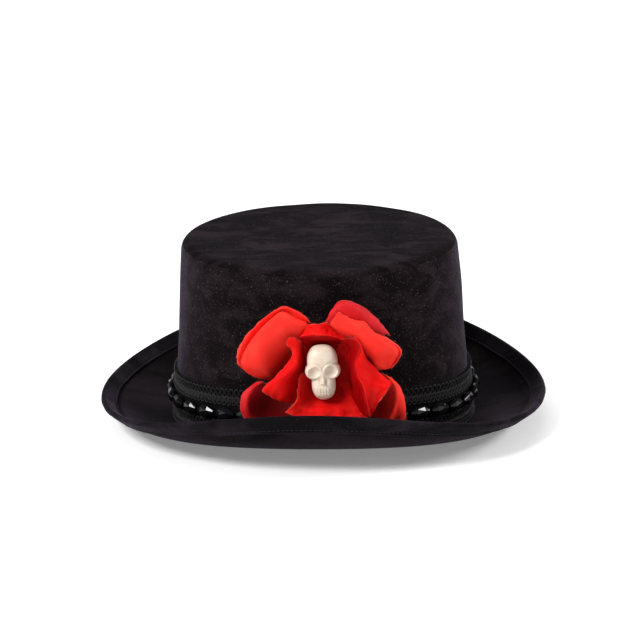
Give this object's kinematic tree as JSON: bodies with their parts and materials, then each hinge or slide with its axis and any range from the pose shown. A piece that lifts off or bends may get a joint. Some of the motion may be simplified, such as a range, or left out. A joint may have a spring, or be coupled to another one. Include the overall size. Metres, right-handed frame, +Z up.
{
  "type": "top hat",
  "caption": "Costume top hat with a brim curled up at both sides, a braided and beaded hatband, and a cloth flower with a small moulded skull at one side.",
  "frame": {"origin": "under the middle of the hat, on the surface that the brim rests on", "axes": "+X along the long axis of the head oval, -Y the side that carries the flower, +Z up towards the flat tip of the crown"},
  "size_m": [0.3101, 0.2464, 0.131],
  "materials": {
    "hat_suede": "short flocked suede nap, matte",
    "rim_wire": "drawn wire",
    "sweatband_ribbon": "ribbed ribbon",
    "lining_satin": "satin",
    "band_ribbon": "plain woven tape",
    "braid": "silky twisted cord",
    "cut_bead": "polished facets",
    "backing_felt": "felt",
    "stem_plastic": "moulded",
    "petal_cloth": "satin-faced cloth, frayed edges",
    "cast_resin": "cast, softly matte"
  },
  "bodies": {
    "root": {"crown_shell": "hat_suede", "brim": "hat_suede", "brim_binding": "hat_suede", "brim_wire": "rim_wire", "sweatband": "sweatband_ribbon", "lining_side": "lining_satin", "lining_tip": "lining_satin", "band_tape": "band_ribbon", "gimp_lower": "braid", "gimp_upper": "braid", "bead_row": "cut_bead", "flower_backing": "backing_felt", "flower_hub": "stem_plastic", "skull": "cast_resin", "outer_petal_lower_left": "petal_cloth", "outer_petal_top": "petal_cloth", "outer_petal_bottom": "petal_cloth", "outer_petal_lower_right": "petal_cloth", "outer_petal_upper_left": "petal_cloth", "outer_petal_right": "petal_cloth", "inner_petal_top": "petal_cloth", "inner_petal_bottom": "petal_cloth", "inner_petal_left": "petal_cloth", "inner_petal_right": "petal_cloth"}
  },
  "joints": []
}
